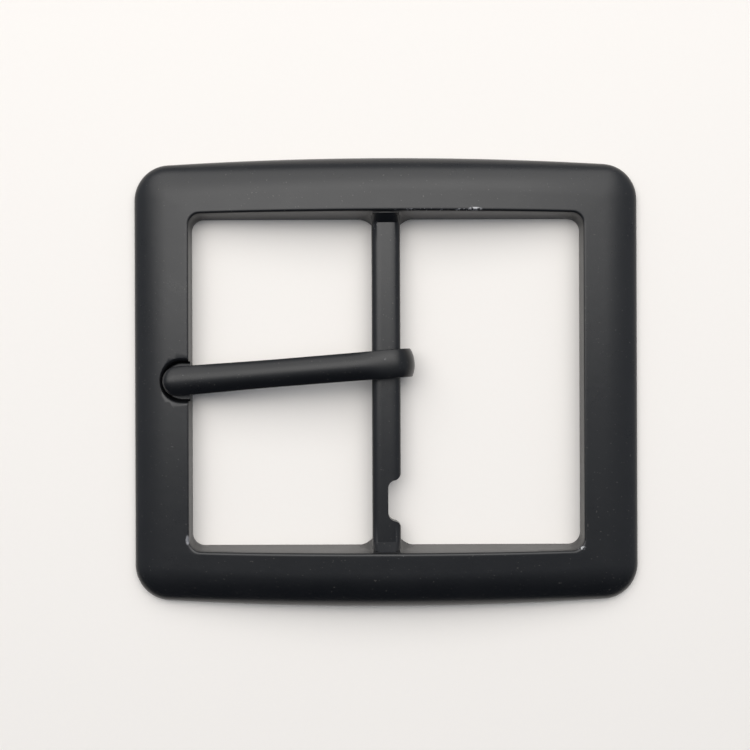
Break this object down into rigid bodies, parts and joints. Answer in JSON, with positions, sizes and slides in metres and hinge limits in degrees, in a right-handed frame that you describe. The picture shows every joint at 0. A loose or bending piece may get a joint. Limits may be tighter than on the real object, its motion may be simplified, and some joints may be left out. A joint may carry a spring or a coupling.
{
  "type": "belt buckle",
  "caption": "Rounded rectangular centre-bar belt buckle with a bowed, arched rim and a loose prong that swings on the bar.",
  "frame": {"origin": "middle of the buckle's flat back, which lies in z = 0", "axes": "+X along the strap from the prong's tip towards the hook, +Y across the strap along the bar, +Z out of the front"},
  "size_m": [0.0624, 0.0552, 0.0059],
  "materials": {
    "frame_coat": "satin black coat on a zinc die casting, bare metal at a few small nicks on the window's front edge",
    "prong_coat": "satin black coat on a zinc die casting, slightly orange-peeled"
  },
  "bodies": {
    "frame": {"frame": "frame_coat"},
    "prong": {"prong": "prong_coat"}
  },
  "joints": [
    {"name": "prong_swing", "type": "hinge", "parent": "frame", "child": "prong", "pos_m": [0, 0.00215, 0.00275], "axis": [0, 1, 0], "range_deg": [0, 176]}
  ]
}
